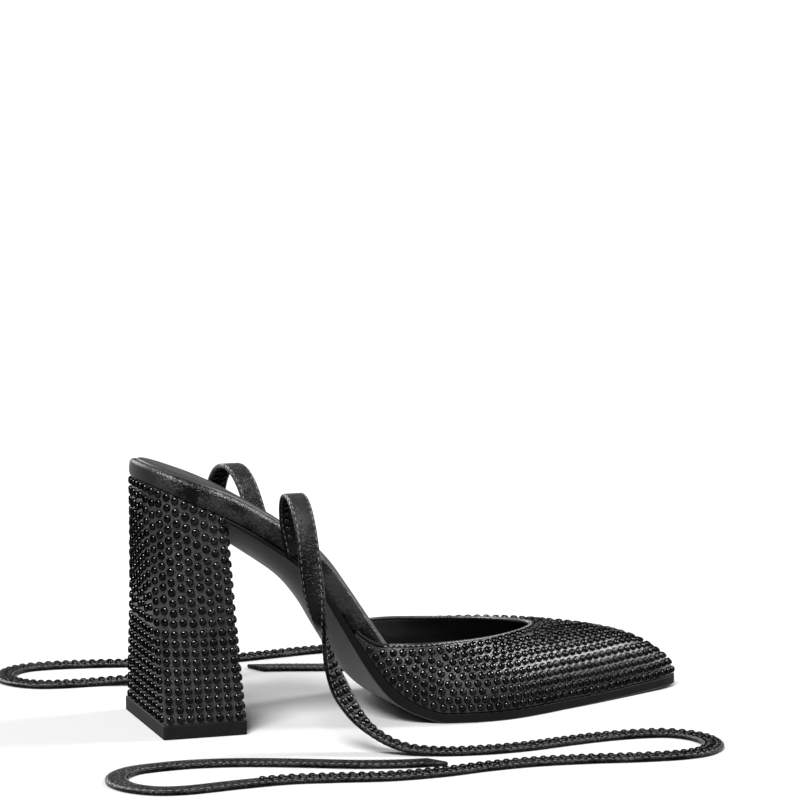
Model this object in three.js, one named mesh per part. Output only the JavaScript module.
// A woman's high-heeled shoe with two ankle ties: a closed pointed vamp, an open back, a block heel.
// The right shoe of a pair. Millimetres, +Z up, +X to the toe, +Y to the inner side of the foot.
import * as THREE from 'three'

// Overall sizes. The back of the seat is at x = 0 and the floor at z = 0 until the last lines.
const SHOE_LENGTH = 232.5
const HEEL_HEIGHT = 99.6
const TOE_SPRING = 1.2

// Widths of the tread outline
const SEAT_WIDTH = 57
const SEAT_ROUND = 28
const WAIST_WIDTH = 42.4
const BALL_WIDTH = 77.8
const TIP_ROUND = 8

// Outsole
const SOLE_EDGE = 4
const SHANK_EDGE = 2
const SHANK_THICKNESS = 8.6
const SOLE_SLOPE_REACH = 6

// Footbed: a leather-wrapped board whose edge shows as a band from the seat to the vamp
const BAND_THICKNESS = 8.6
const BOARD_THICKNESS = 3
const BAND_EDGE_RADIUS = 2.6
const EDGE_REVEAL = 0.6
const BAND_LEAN_ROOM = 1.3
const FOOTBED_TIP_ROOM = 5.5

// Sock lining on the footbed
const SOCK_THICKNESS = 0.9
const SOCK_INSET = 1

// Vamp
const VAMP_WALL = 1.7
const TOPLINE_HEIGHT = 30.2
const TAIL_RISE = 4.4
const TAIL_HEIGHT = 1.2
const TAIL_REACH = 10
const TAIL_FALL_POWER = 1.6
const TOPLINE_LEAN = 5.8
const THROAT_START = 110
const THROAT_APEX = 169.4
const THROAT_POWER = 1.7
const THROAT_RISE = 0.7
const SKIN_POWER = 2.3
const TOE_BOX_ROUND = 20
const SIDE_BULGE = 1.1
const SIDE_BULGE_HEIGHT = 18
const RIDGE_LEAN = 1.5
const WALLS_AT_TIP = 2
const SIDE_WALL_SPREAD = 1.1
const STEEPEST_RIM = 0.995

// Piping along the vamp's top line
const PIPING_DIAMETER = 1.5

// Heel
const HEEL_TOP_LENGTH = 31.2
const HEEL_BASE_LENGTH = 33.6
const HEEL_BASE_BACK = 4.8
const HEEL_BASE_WIDTH = 61.2
const HEEL_TOP_POWER = 2.25
const HEEL_BASE_POWER = 32
const HEEL_FLARE_POWER = 1.4
const HEEL_INSET = 0.8
const LIFT_THICKNESS = 5.5

// Ties
const TIE_WIDTH = 8.5
const TIE_THICKNESS = 1.8
const TIE_EDGE = 0.5
const TIE_START_SKEW = 1.5
const TIE_END_SKEW = 0.8
const TIE_STEPS = 88
const TIE_TWIST_FROM = 62
const TIE_TWIST_LENGTH = 74

// Clearances
const FIT_GAP = 0.3
const BREAST_GAP = 1.1

const STATIONS_AT_SEAT = 7
const STATIONS_ALONG = 34
const STATIONS_AT_TIP = 5

// The line where the upper pieces meet the outsole and the heel, seen from the side.
// along: share of SHOE_LENGTH. up: share of HEEL_HEIGHT above the forefoot's level.
const SEAM_ROWS = [
  { along: 0.000, up: 1.000 },
  { along: 0.073, up: 0.920 },
  { along: 0.146, up: 0.836 },
  { along: 0.219, up: 0.727 },
  { along: 0.268, up: 0.641 },
  { along: 0.301, up: 0.559 },
  { along: 0.327, up: 0.467 },
  { along: 0.357, up: 0.353 },
  { along: 0.387, up: 0.238 },
  { along: 0.422, up: 0.118 },
  { along: 0.447, up: 0.063 },
  { along: 0.473, up: 0.029 },
  { along: 0.490, up: 0.012 },
  { along: 0.514, up: 0.000 },
  { along: 0.710, up: 0.000 },
]

// Toe spring of the same line. up: share of TOE_SPRING.
const SPRING_ROWS = [
  { along: 0.710, up: 0.00 },
  { along: 0.800, up: 0.12 },
  { along: 0.900, up: 0.50 },
  { along: 1.000, up: 1.00 },
]

// Tread outline. half: share of the width named by `of`. centre: share of BALL_WIDTH to the inner side.
const PLAN_ROWS = [
  { along: 0.000, of: SEAT_WIDTH, half: 0.500, centre: 0.000 },
  { along: 0.120, of: SEAT_WIDTH, half: 0.500, centre: 0.000 },
  { along: 0.163, of: SEAT_WIDTH, half: 0.465, centre: -0.006 },
  { along: 0.215, of: WAIST_WIDTH, half: 0.547, centre: -0.013 },
  { along: 0.267, of: WAIST_WIDTH, half: 0.502, centre: -0.018 },
  { along: 0.323, of: WAIST_WIDTH, half: 0.500, centre: -0.018 },
  { along: 0.370, of: WAIST_WIDTH, half: 0.553, centre: -0.015 },
  { along: 0.417, of: BALL_WIDTH, half: 0.355, centre: -0.012 },
  { along: 0.447, of: BALL_WIDTH, half: 0.402, centre: -0.009 },
  { along: 0.486, of: BALL_WIDTH, half: 0.444, centre: -0.006 },
  { along: 0.514, of: BALL_WIDTH, half: 0.469, centre: -0.003 },
  { along: 0.551, of: BALL_WIDTH, half: 0.492, centre: 0.000 },
  { along: 0.594, of: BALL_WIDTH, half: 0.500, centre: 0.005 },
  { along: 0.637, of: BALL_WIDTH, half: 0.488, centre: 0.015 },
  { along: 0.688, of: BALL_WIDTH, half: 0.447, centre: 0.028 },
  { along: 0.740, of: BALL_WIDTH, half: 0.388, centre: 0.039 },
  { along: 0.800, of: BALL_WIDTH, half: 0.316, centre: 0.044 },
  { along: 0.860, of: BALL_WIDTH, half: 0.238, centre: 0.048 },
  { along: 0.920, of: BALL_WIDTH, half: 0.155, centre: 0.050 },
  { along: 1.000, of: BALL_WIDTH, half: 0.047, centre: 0.054 },
]

// Outsole thickness, square to its slope. edge: share of SOLE_EDGE. middle: share of SHANK_THICKNESS.
const SOLE_ROWS = [
  { along: 0.140, edge: SHANK_EDGE / SOLE_EDGE, middle: 0.97 },
  { along: 0.300, edge: SHANK_EDGE / SOLE_EDGE, middle: 1.00 },
  { along: 0.345, edge: 0.72, middle: 0.97 },
  { along: 0.385, edge: 0.93, middle: 0.84 },
  { along: 0.425, edge: 1.00, middle: 0.61 },
  { along: 0.470, edge: 1.00, middle: SOLE_EDGE / SHANK_THICKNESS },
]

// Footbed thickness, square to its slope. share: 1 is the band, 0 the board under the vamp.
const FOOTBED_ROWS = [
  { along: 0.00, share: 0.7 },
  { along: 0.06, share: 0.86 },
  { along: 0.12, share: 0.97 },
  { along: 0.16, share: 1 },
  { along: 0.43, share: 1 },
  { along: 0.48, share: 0.62 },
  { along: 0.53, share: 0.15 },
  { along: 0.57, share: 0 },
]

// Room between the edge of the outsole and the footbed: 0 is EDGE_REVEAL, 1 leaves room for the vamp.
const ROOM_ROWS = [
  { along: 0.27, share: 0 },
  { along: 0.35, share: 1 },
]

// How far the top line leans in from the tread outline. lean: share of TOPLINE_LEAN.
const LEAN_ROWS = [
  { along: 0.366, lean: 0.13 },
  { along: 0.396, lean: 0.20 },
  { along: 0.426, lean: 0.33 },
  { along: 0.456, lean: 0.50 },
  { along: 0.486, lean: 0.72 },
  { along: 0.516, lean: 1.00 },
]

// Ridge of the closed toe. up: share of the height at the throat. It rounds off over TOE_BOX_ROUND.
const RIDGE_ROWS = [
  { along: 0.729, up: 1.000 },
  { along: 0.761, up: 0.963 },
  { along: 0.792, up: 0.925 },
  { along: 0.822, up: 0.880 },
  { along: 0.852, up: 0.820 },
  { along: 0.882, up: 0.752 },
  { along: 0.912, up: 0.660 },
  { along: 0.944, up: 0.560 },
  { along: 0.975, up: 0.480 },
  { along: 1.000, up: 0.440 },
]

// A smooth curve through rows, with no overshoot, straight past both ends
function curve(rows, column, scale = 1) {
  const xs = rows.map((row) => row.along * SHOE_LENGTH)
  const ys = rows.map((row) => (typeof column === 'string' ? row[column] : column(row)) * scale)
  const last = xs.length - 1
  const secant = (i) => (ys[i + 1] - ys[i]) / (xs[i + 1] - xs[i])
  const slopes = xs.map((x, i) => {
    if (i === 0) return secant(0)
    if (i === last) return secant(last - 1)
    const before = secant(i - 1)
    const after = secant(i)
    if (before * after <= 0) return 0
    const left = x - xs[i - 1]
    const right = xs[i + 1] - x
    const mean = (before * right + after * left) / (left + right)
    const limit = 3 * Math.min(Math.abs(before), Math.abs(after))
    return Math.sign(mean) * Math.min(Math.abs(mean), limit)
  })
  return (x) => {
    if (x <= xs[0]) return ys[0] + slopes[0] * (x - xs[0])
    if (x >= xs[last]) return ys[last] + slopes[last] * (x - xs[last])
    let i = 0
    while (x > xs[i + 1]) i += 1
    const step = xs[i + 1] - xs[i]
    const t = (x - xs[i]) / step
    const rise = t * t * (3 - 2 * t)
    const turnIn = t * (1 - t) * (1 - t) * slopes[i]
    const turnOut = t * t * (t - 1) * slopes[i + 1]
    return ys[i] + (ys[i + 1] - ys[i]) * rise + step * (turnIn + turnOut)
  }
}

const clamp = (value, low, high) => Math.min(high, Math.max(low, value))
const mix = (a, b, t) => a + (b - a) * t

// 1 at the start of a turned end, falling to 0 at its tip like a quarter of an ellipse
const roundEnd = (share) => Math.sqrt(Math.max(0, 1 - clamp(share, 0, 1) ** 2))

const seamRise = curve(SEAM_ROWS, 'up', HEEL_HEIGHT - SOLE_EDGE)
const springRise = curve(SPRING_ROWS, 'up', TOE_SPRING)
const seam = (x) => SOLE_EDGE + Math.max(0, seamRise(x)) + Math.max(0, springRise(x))
const planHalf = curve(PLAN_ROWS, (row) => row.half * row.of)
const planCentre = curve(PLAN_ROWS, 'centre', BALL_WIDTH)
const soleEdge = curve(SOLE_ROWS, 'edge', SOLE_EDGE)
const soleMiddle = curve(SOLE_ROWS, 'middle', SHANK_THICKNESS)
const footbedShare = curve(FOOTBED_ROWS, 'share')
const roomShare = curve(ROOM_ROWS, 'share')

// Fall of the seam towards the toe, as an angle, averaged over a short reach
function seamFall(x) {
  const ahead = seam(x + SOLE_SLOPE_REACH)
  const behind = seam(x - SOLE_SLOPE_REACH)
  return Math.atan((behind - ahead) / (2 * SOLE_SLOPE_REACH))
}

// Half of the gap along the seam, measured straight up
const seamGap = (x) => FIT_GAP / 2 / Math.cos(seamFall(x))

// Height, as a function of x, of a line that lies square above the seam by thickness(x)
function above(thickness) {
  const line = []
  for (let x = -2 * BAND_THICKNESS; x <= SHOE_LENGTH + BAND_THICKNESS; x += 1) {
    const fall = Math.atan(seam(x - 0.5) - seam(x + 0.5))
    const t = thickness(x)
    line.push([x + t * Math.sin(fall), seam(x) + t * Math.cos(fall)])
  }
  return (x) => {
    let i = 0
    while (i < line.length - 2 && line[i + 1][0] < x) i += 1
    const [x0, z0] = line[i]
    const [x1, z1] = line[i + 1]
    return mix(z0, z1, (x - x0) / (x1 - x0))
  }
}

const footbedThickness = (x) => mix(BOARD_THICKNESS, BAND_THICKNESS, clamp(footbedShare(x), 0, 1))
const footbedTop = above(footbedThickness)
const sockTop = above((x) => footbedThickness(x) + FIT_GAP + SOCK_THICKNESS)
const sockBottom = above((x) => footbedThickness(x) + FIT_GAP)

// Room between the outsole's edge and the footbed, which holds the vamp's leaning wall in front
const wallRoom = EDGE_REVEAL + SIDE_WALL_SPREAD * VAMP_WALL + FIT_GAP
const toplineLean = curve(LEAN_ROWS, 'lean', TOPLINE_LEAN)
const leanRoom = (x) => clamp(toplineLean(x), 0, BAND_LEAN_ROOM)
const footbedRoom = (x) => mix(EDGE_REVEAL, wallRoom + leanRoom(x), clamp(roomShare(x), 0, 1))

// Half width of an outline that keeps `room` from the tread outline and ends at `start` and `end`
function outlineHalf(x, room, start, end) {
  const back = x < SEAT_ROUND ? roundEnd((SEAT_ROUND - x) / (SEAT_ROUND - start)) : 1
  const tip = roundEnd((x - (end - TIP_ROUND)) / TIP_ROUND)
  return Math.max(0, planHalf(x) - room) * back * tip
}

// Places along the sole that every outline shares, so that facing surfaces keep their gap
const sharedPlaces = Array.from({ length: STATIONS_ALONG + 1 }, (_, i) => {
  return mix(SEAT_ROUND, SHOE_LENGTH - 3 * TIP_ROUND, i / STATIONS_ALONG)
})

// Places along an outline, closer together where its ends turn round
function alongOutline(start, end) {
  const places = []
  const seat = start < SEAT_ROUND
  if (seat) {
    for (let i = 0; i < STATIONS_AT_SEAT; i += 1) {
      const turn = (Math.PI / 2) * (i / STATIONS_AT_SEAT)
      places.push(SEAT_ROUND - (SEAT_ROUND - start) * Math.cos(turn))
    }
  } else {
    places.push(start)
  }
  places.push(...sharedPlaces.filter((x) => x > start + 1))
  for (let i = 0; i <= STATIONS_AT_TIP; i += 1) {
    const turn = (Math.PI / 2) * (i / STATIONS_AT_TIP)
    places.push(end - TIP_ROUND + TIP_ROUND * Math.sin(turn))
  }
  return places
}

// Triangles of a surface given as rows of points
function triangle(out, a, b, c) {
  const same = (p, q) => Math.hypot(p[0] - q[0], p[1] - q[1], p[2] - q[2]) < 1e-6
  if (!same(a, b) && !same(b, c) && !same(c, a)) out.push(a, b, c)
}

function patch(out, rows, reversed = false) {
  for (let i = 0; i + 1 < rows.length; i += 1) {
    for (let j = 0; j + 1 < rows[i].length; j += 1) {
      const [a, b, c, d] = [rows[i][j], rows[i + 1][j], rows[i + 1][j + 1], rows[i][j + 1]]
      if (reversed) {
        triangle(out, a, c, b)
        triangle(out, a, d, c)
      } else {
        triangle(out, a, b, c)
        triangle(out, a, c, d)
      }
    }
  }
}

// A closed body through rings of points, with flat or pointed ends
function loft(rings) {
  const out = []
  patch(out, rings.map((ring) => [...ring, ring[0]]))
  const cap = (ring, reversed) => {
    const middle = [0, 1, 2].map((k) => ring.reduce((sum, p) => sum + p[k], 0) / ring.length)
    ring.forEach((p, i) => {
      const q = ring[(i + 1) % ring.length]
      if (reversed) triangle(out, middle, q, p)
      else triangle(out, middle, p, q)
    })
  }
  const area = (ring) => {
    const sum = new THREE.Vector3()
    ring.forEach((p, i) => {
      const q = ring[(i + 1) % ring.length]
      sum.add(new THREE.Vector3(...p).cross(new THREE.Vector3(...q)))
    })
    return sum.length() / 2
  }
  if (area(rings[0]) > 1e-3) cap(rings[0], false)
  if (area(rings[rings.length - 1]) > 1e-3) cap(rings[rings.length - 1], true)
  return out
}

const shoe = new THREE.Group()
const root = new THREE.Group()
root.add(shoe)

function add(name, triangles, material) {
  let volume = 0
  for (let i = 0; i < triangles.length; i += 3) {
    const [a, b, c] = triangles.slice(i, i + 3).map((p) => new THREE.Vector3(...p))
    volume += a.dot(b.cross(c))
  }
  const ordered = []
  for (let i = 0; i < triangles.length; i += 3) {
    const [a, b, c] = triangles.slice(i, i + 3)
    ordered.push(...(volume > 0 ? [a, b, c] : [a, c, b]))
  }
  const geometry = new THREE.BufferGeometry()
  geometry.setAttribute('position', new THREE.Float32BufferAttribute(ordered.flat(), 3))
  geometry.computeVertexNormals()
  const mesh = new THREE.Mesh(geometry, material)
  mesh.name = name
  shoe.add(mesh)
  return mesh
}

const material = (color, roughness, metalness = 0) =>
  new THREE.MeshStandardMaterial({ color, roughness, metalness, side: THREE.DoubleSide })
const soleLeather = material(0x3c3c3c, 0.55)
const wrapLeather = material(0x2c2c2e, 0.35, 0.4)
const sockLeather = material(0x161616, 0.5)
const stonedFabric = material(0x1c1c1e, 0.3)
const bindingLeather = material(0x3a3a3c, 0.4)
const liftRubber = material(0x202020, 0.6)
const tieLeather = material(0x121214, 0.4, 0.2)

// Outsole: flat and even under the forefoot, thin-edged and swelling to the middle under the arch
function outsole() {
  const start = HEEL_TOP_LENGTH + BREAST_GAP
  const shares = [-1, -0.82, -0.62, -0.42, -0.21, 0, 0.21, 0.42, 0.62, 0.82, 1]
  const rings = alongOutline(start, SHOE_LENGTH).map((x) => {
    const half = outlineHalf(x, 0, 0, SHOE_LENGTH)
    const centre = planCentre(x)
    const slope = Math.cos(seamFall(x))
    const top = seam(x) - seamGap(x)
    const edge = Math.max(0, seam(x) - soleEdge(x) / slope)
    const swell = Math.max(0, soleMiddle(x) - soleEdge(x)) / slope
    const under = shares.map((m) => [x, centre + m * half, edge - swell * (1 - m * m)])
    return [[x, centre - half, top], ...under, [x, centre + half, top]]
  })
  return loft(rings)
}

// Footbed: the wrapped board, its edge rounded over at the top
function footbed() {
  const bottom = (x) => seam(x) + seamGap(x)
  const r = BAND_EDGE_RADIUS
  const cut = r * (1 - Math.SQRT1_2)
  const below = (drop, share) => (x) => Math.max(footbedTop(x) - drop, mix(bottom(x), footbedTop(x), share))
  const layers = [
    { inset: 0, height: bottom },
    { inset: 0, height: below(r, 0.4) },
    { inset: cut, height: below(cut, 0.8) },
    { inset: r, height: footbedTop },
  ]
  return slab(layers, FOOTBED_TIP_ROOM)
}

function slab(layers, tipRoom) {
  const end = SHOE_LENGTH - tipRoom
  const lines = layers.map(({ inset, height }) => {
    return alongOutline(inset + EDGE_REVEAL, end - inset).map((x) => {
      const room = footbedRoom(x) + inset
      const half = outlineHalf(x, room, inset + EDGE_REVEAL, end - inset)
      return { x, half, centre: planCentre(x), z: height(x) }
    })
  })
  const rings = lines[0].map((_, i) => {
    const outer = lines.map((line) => [line[i].x, line[i].centre - line[i].half, line[i].z])
    const inner = lines.map((line) => [line[i].x, line[i].centre + line[i].half, line[i].z])
    return [...outer, ...inner.reverse()]
  })
  return loft(rings)
}

// Sock: the thin lining that the foot stands on
function sock() {
  const inset = BAND_EDGE_RADIUS + SOCK_INSET
  const layers = [
    { inset, height: sockBottom },
    { inset, height: sockTop },
  ]
  return slab(layers, FOOTBED_TIP_ROOM)
}

// The vamp starts where the seam has come down to a little above the top line
function findTail() {
  let low = 0
  let high = THROAT_START
  for (let i = 0; i < 40; i += 1) {
    const middle = (low + high) / 2
    if (seam(middle) > TOPLINE_HEIGHT + TAIL_RISE) low = middle
    else high = middle
  }
  return high
}

const VAMP_TAIL = findTail()
const VAMP_TIP = SHOE_LENGTH - EDGE_REVEAL
const vampFloor = (x) => seam(x) + seamGap(x)
const WIDEST = LEAN_ROWS[LEAN_ROWS.length - 1].along * SHOE_LENGTH
const ridgeShare = curve(RIDGE_ROWS, 'up')

// Height of the vamp's upper edge: level, lifted at the tail and a little at the throat
function rimHeight(x) {
  const tailLift = vampFloor(VAMP_TAIL) + TAIL_HEIGHT - TOPLINE_HEIGHT
  const back = clamp(1 - (x - VAMP_TAIL) / TAIL_REACH, 0, 1)
  const front = clamp((x - THROAT_START) / (THROAT_APEX - THROAT_START), 0, 1)
  return TOPLINE_HEIGHT + tailLift * back ** TAIL_FALL_POWER + THROAT_RISE * front
}

// Half width of the opening: along the sides it follows the wall, then it rounds into the throat
function openingHalf(x) {
  const share = clamp((x - THROAT_START) / (THROAT_APEX - THROAT_START), 0, 1)
  const throat = (1 - share ** THROAT_POWER) ** (1 / THROAT_POWER)
  const wide = Math.min(x, WIDEST)
  return (planHalf(wide) - toplineLean(wide)) * throat
}

// The last's skin at x, `depth` inside the vamp's outer face: a superellipse over the sole
function skin(x, depth) {
  const tip = VAMP_TIP - WALLS_AT_TIP * depth
  const share = (x - (tip - TIP_ROUND)) / TIP_ROUND
  const half = Math.max(0, planHalf(x) - EDGE_REVEAL - SIDE_WALL_SPREAD * depth) * roundEnd(share)
  const floor = vampFloor(x)
  if (x >= THROAT_APEX) {
    const throatHeight = rimHeight(THROAT_APEX) - vampFloor(THROAT_APEX)
    const front = (x - (tip - TOE_BOX_ROUND)) / TOE_BOX_ROUND
    const height = (throatHeight * ridgeShare(x) - depth) * roundEnd(front)
    return { half, floor, height, rimTurn: Math.PI / 2 }
  }
  const n = SKIN_POWER
  const outerHalf = planHalf(x) - EDGE_REVEAL
  const y = Math.min(openingHalf(x), outerHalf * STEEPEST_RIM)
  const z = rimHeight(x) - floor
  const outerHeight = z / (1 - (y / outerHalf) ** n) ** (1 / n)
  const across = (y / outerHalf) ** (n - 1) / outerHalf
  const upward = (z / outerHeight) ** (n - 1) / outerHeight
  const length = Math.hypot(across, upward)
  const rimY = Math.min(y - (depth * across) / length, half * STEEPEST_RIM)
  const rimZ = z - (depth * upward) / length
  const height = rimZ / (1 - (rimY / half) ** n) ** (1 / n)
  const rimTurn = Math.asin((rimZ / height) ** (n / 2))
  return { half, floor, height, rimTurn }
}

// One point of the skin: side is -1 outside, 1 inside; up runs from 0 at the sole to 1 at the edge
function skinPoint(x, side, up, depth) {
  const { half, floor, height, rimTurn } = skin(x, depth)
  const turn = rimTurn * up
  const y = half * Math.max(0, Math.cos(turn)) ** (2 / SKIN_POWER)
  const z = height * Math.sin(turn) ** (2 / SKIN_POWER)
  const bulge = SIDE_BULGE * Math.sin(Math.PI * clamp(z / SIDE_BULGE_HEIGHT, 0, 1))
  const swelling = half > 0 ? bulge * Math.min(1, half / (4 * TIP_ROUND)) * (y / half) : 0
  const lean = height > 0 ? RIDGE_LEAN * (z / height) ** 2 * Math.min(1, half / TIP_ROUND) : 0
  return [x, planCentre(x) + side * (y + swelling) + lean, floor + z]
}

// Stations of the vamp: close together at the tail, at the throat and at the tip
const OPEN_STATIONS = 26
const TOE_STATIONS = 16
const ROWS_UP = 9
const CROWDING_AT_THROAT = 1.5
function vampStation(i, depth) {
  if (i <= OPEN_STATIONS) {
    const left = 1 - i / OPEN_STATIONS
    return mix(THROAT_APEX, VAMP_TAIL, left ** CROWDING_AT_THROAT)
  }
  const t = (i - OPEN_STATIONS) / TOE_STATIONS
  return mix(THROAT_APEX, VAMP_TIP - WALLS_AT_TIP * depth, Math.sin((Math.PI / 2) * t))
}

function vampGrid(side, depth) {
  const rows = []
  for (let i = 0; i <= OPEN_STATIONS + TOE_STATIONS; i += 1) {
    const x = vampStation(i, depth)
    const row = []
    for (let j = 0; j <= ROWS_UP; j += 1) row.push(skinPoint(x, side, j / ROWS_UP, depth))
    rows.push(row)
  }
  return rows
}

// Vamp: an open-bottomed, open-backed shell with a wall of even thickness
function vamp() {
  const out = []
  for (const side of [-1, 1]) {
    const outside = vampGrid(side, 0)
    const inside = vampGrid(side, VAMP_WALL)
    const lateral = side < 0
    patch(out, outside, !lateral)
    patch(out, inside, lateral)
    patch(out, outside.map((row, i) => [row[0], inside[i][0]]), lateral)
    const rim = outside.slice(0, OPEN_STATIONS + 1)
    patch(out, rim.map((row, i) => [row[ROWS_UP], inside[i][ROWS_UP]]), !lateral)
    patch(out, outside[0].map((point, j) => [point, inside[0][j]]), !lateral)
  }
  return out
}

// A body of even section along points. across gives the section's width direction at each point.
function sweep(points, across, profile, startSkew = 0, endSkew = 0) {
  const place = points.map((p) => new THREE.Vector3(...p))
  const rings = place.map((p, i) => {
    const ahead = place[Math.min(i + 1, place.length - 1)]
    const behind = place[Math.max(i - 1, 0)]
    const along = ahead.clone().sub(behind).normalize()
    const wide = across(i, along).clone()
    wide.addScaledVector(along, -wide.dot(along)).normalize()
    const thick = along.clone().cross(wide)
    const skew = i === 0 ? startSkew : i === place.length - 1 ? endSkew : 0
    return profile.map(([w, h]) => {
      return p.clone().addScaledVector(wide, w).addScaledVector(thick, h)
        .addScaledVector(along, w * skew).toArray()
    })
  })
  return loft(rings)
}

// Piping: a thin leather roll that sits on the vamp's upper edge, from tail to throat to tail
function piping() {
  const outerSide = [-1, 1].map((side) => vampGrid(side, 0).map((row) => row[ROWS_UP]))
  const innerSide = [-1, 1].map((side) => vampGrid(side, VAMP_WALL).map((row) => row[ROWS_UP]))
  const walk = ([lateral, medial]) => {
    const out = lateral.slice(0, OPEN_STATIONS + 1)
    return [...out, ...medial.slice(0, OPEN_STATIONS).reverse()].map((p) => new THREE.Vector3(...p))
  }
  const outer = walk(outerSide)
  const inner = walk(innerSide)
  const count = outer.length
  const lift = FIT_GAP + PIPING_DIAMETER / 2
  const points = outer.map((p, i) => {
    const normal = p.clone().sub(inner[i]).normalize()
    const along = outer[Math.min(i + 1, count - 1)].clone().sub(outer[Math.max(i - 1, 0)]).normalize()
    const off = normal.clone().cross(along).normalize()
    return p.clone().add(inner[i]).multiplyScalar(0.5).addScaledVector(off, lift).toArray()
  })
  const normals = outer.map((p, i) => p.clone().sub(inner[i]))
  const sides = 8
  const profile = Array.from({ length: sides }, (_, k) => {
    const turn = (2 * Math.PI * k) / sides
    return [Math.cos(turn) * PIPING_DIAMETER / 2, Math.sin(turn) * PIPING_DIAMETER / 2]
  })
  return sweep(points, (i) => normals[i], profile)
}

// Heel: the seat's round outline at the top flares to a rounded rectangle on the floor
function heelOutline(level, inset, scale = 1) {
  const count = 40
  const blend = level ** HEEL_FLARE_POWER
  const front = mix(HEEL_TOP_LENGTH, HEEL_BASE_BACK + HEEL_BASE_LENGTH - inset, level)
  const back = mix(EDGE_REVEAL, HEEL_BASE_BACK, level) + inset
  const half = mix(SEAT_WIDTH / 2 - EDGE_REVEAL, HEEL_BASE_WIDTH / 2, blend) - inset
  const power = 1 / mix(1 / HEEL_TOP_POWER, 1 / HEEL_BASE_POWER, level)
  return Array.from({ length: count + 1 }, (_, i) => {
    const turn = (Math.PI * i) / count
    const x = front - (front - back) * Math.sin(turn) ** (2 / power)
    const y = -Math.sign(Math.cos(turn)) * half * Math.abs(Math.cos(turn)) ** (2 / power)
    const middle = (front + back) / 2
    return [mix(middle, x, scale), y * scale]
  })
}

function heelBlock() {
  const bottom = LIFT_THICKNESS + FIT_GAP
  const levels = 10
  const ring = (level, scale) => heelOutline(level, HEEL_INSET, scale).map(([x, y]) => {
    return [x, y, mix(seam(x) - seamGap(x), bottom, level)]
  })
  const top = [0.05, 0.35, 0.7].map((scale) => ring(0, scale))
  const sides = Array.from({ length: levels + 1 }, (_, i) => ring(i / levels, 1))
  return loft([...top, ...sides])
}

// Lift: the replaceable tread under the heel
function heelLift() {
  const ring = (z) => heelOutline(1, 0).map(([x, y]) => [x, y, z])
  return loft([ring(LIFT_THICKNESS), ring(0)])
}

// Ties: each leaves the seam beside the footbed, stands up, falls over with one half twist, so that its
// stoned face is up again, and lies loose on the floor.
// The points of a tie's middle line are chosen by hand.
const OUTER_TIE = [
  [61.3, -23.6, 67.9],
  [59.6, -23.9, 75],
  [57.8, -25.2, 82.4],
  [56.3, -29.4, 89.3],
  [55, -36, 94],
  [54.2, -43, 95.4],
  [53.8, -50.4, 93.8],
  [53.6, -57, 88.8],
  [53.8, -61, 81.4],
  [54.4, -62.8, 72],
  [56, -63.8, 59],
  [58.6, -64.8, 45],
  [62.2, -66.6, 31],
  [67.2, -70, 18.6],
  [74.6, -75.4, 8.8],
  [85, -81.2, 2.8],
  [98, -86.4, 1.1],
  [115, -89.4, 1],
  [133, -88.6, 1],
  [151, -84.8, 1],
  [168, -82, 1],
  [184.5, -82, 1],
  [194.2, -84.6, 1],
  [201.2, -91.7, 1],
  [203.8, -101.3, 1],
  [201.2, -110.9, 1],
  [194.2, -118, 1],
  [184.5, -120.6, 1],
  [168, -119.6, 1],
  [148, -116, 1],
  [128, -114, 1],
  [108, -115.4, 1],
  [88, -119, 1],
  [68, -119.4, 1],
  [49, -115.6, 1],
  [31, -112.6, 1],
  [13, -113.6, 1],
  [-11, -116.3, 1],
  [-20.6, -113.7, 1],
  [-27.7, -106.7, 1],
  [-30.3, -97, 1],
  [-27.7, -87.3, 1],
  [-20.7, -80.3, 1],
  [-11, -77.7, 1],
  [4, -76.8, 1],
  [18, -79, 1],
  [32, -83.4, 1],
  [47, -89.6, 1],
  [63, -96.6, 1],
  [79, -101, 1],
  [92, -102.2, 1],
]
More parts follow.
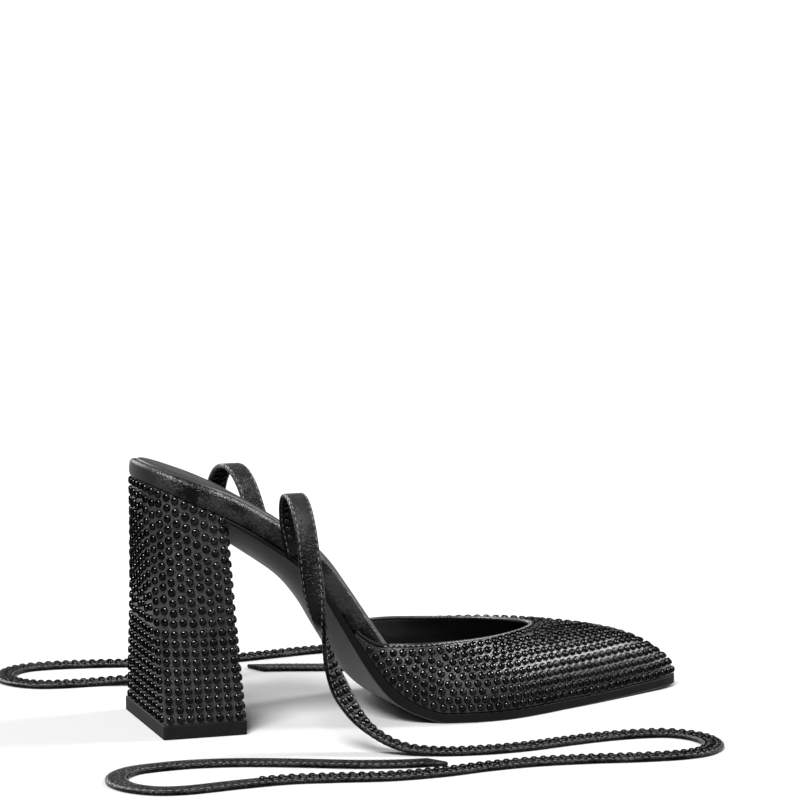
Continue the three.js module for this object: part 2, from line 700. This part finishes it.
const INNER_TIE = [
  [60.3, 21.5, 68.5],
  [58.2, 21.9, 75.6],
  [56.4, 23.4, 83],
  [55, 27.4, 89.6],
  [53.7, 34, 94.2],
  [52.6, 41, 95.4],
  [51.6, 48.2, 93.6],
  [50.9, 54.6, 88.4],
  [50.5, 58.4, 81],
  [50.2, 60, 71.4],
  [49.4, 60.8, 59],
  [47.6, 62, 45],
  [44.4, 64, 31],
  [39.2, 67.4, 18.6],
  [31.2, 71.8, 8.8],
  [20.4, 76, 2.8],
  [7.4, 79.6, 1.2],
  [-10, 80.3, 1],
  [-19.6, 82.9, 1],
  [-26.7, 89.9, 1],
  [-29.3, 99.6, 1],
  [-26.7, 109.2, 1],
  [-19.7, 116.3, 1],
  [-10, 118.9, 1],
  [10, 117.4, 1],
  [30, 113, 1],
  [50, 109.6, 1],
  [70, 109.6, 1],
  [90, 113, 1],
  [110, 116.4, 1],
  [130, 116.6, 1],
  [150, 113.2, 1],
  [170, 110, 1],
  [190, 110.6, 1],
  [217.3, 113.2, 1],
  [227.4, 111.4, 1],
  [235.1, 104.6, 1],
  [238.3, 94.8, 1],
  [236, 84.8, 1],
  [228.9, 77.4, 1],
  [219, 74.7, 1],
  [204, 75.4, 1],
  [188, 78, 1],
  [170, 79, 1],
  [152, 76.6, 1],
  [135, 75, 1],
  [118, 76.6, 1],
  [102, 80.6, 1],
  [88, 85, 1],
  [76, 88, 1],
]

function tie(list, side) {
  const path = new THREE.CatmullRomCurve3(list.map((p) => new THREE.Vector3(...p)), false, 'centripetal')
  path.arcLengthDivisions = 2000
  const points = path.getSpacedPoints(TIE_STEPS).map((p) => p.toArray())
  const a = TIE_WIDTH / 2
  const b = TIE_THICKNESS / 2
  const e = TIE_EDGE
  const quarter = [[a - e, -b], [a, -b + e], [a, b - e], [a - e, b]]
  const profile = [...quarter, ...quarter.map(([w, h]) => [-w, -h])]
  const hung = new THREE.Vector3(-side, 0, 0)
  const up = new THREE.Vector3(0, 0, 1)
  const length = path.getLength()
  const across = (i, along) => {
    const laid = up.clone().cross(along).normalize()
    const standing = clamp((points[i][2] - 4 * TIE_THICKNESS) / (2 * TIE_WIDTH), 0, 1)
    const twist = clamp((length * i / TIE_STEPS - TIE_TWIST_FROM) / TIE_TWIST_LENGTH, 0, 1)
    const wide = laid.lerp(hung, standing)
    wide.addScaledVector(along, -wide.dot(along)).normalize()
    return wide.applyAxisAngle(along, -side * Math.PI * twist * twist * (3 - 2 * twist))
  }
  return sweep(points, across, profile, TIE_START_SKEW * side, TIE_END_SKEW)
}

add('outsole', outsole(), soleLeather)
add('heel_block', heelBlock(), stonedFabric)
add('heel_lift', heelLift(), liftRubber)
add('footbed', footbed(), wrapLeather)
add('sock_lining', sock(), sockLeather)
add('vamp', vamp(), stonedFabric)
add('topline_piping', piping(), bindingLeather)

// The shoe stands on the floor, centred; the ties keep their places beside it
const box = new THREE.Box3().setFromObject(shoe)
const middle = box.getCenter(new THREE.Vector3())
root.position.set(-middle.x, -middle.y, -box.min.z)
add('outer_tie', tie(OUTER_TIE, -1), tieLeather)
add('inner_tie', tie(INNER_TIE, 1), tieLeather)

export default root
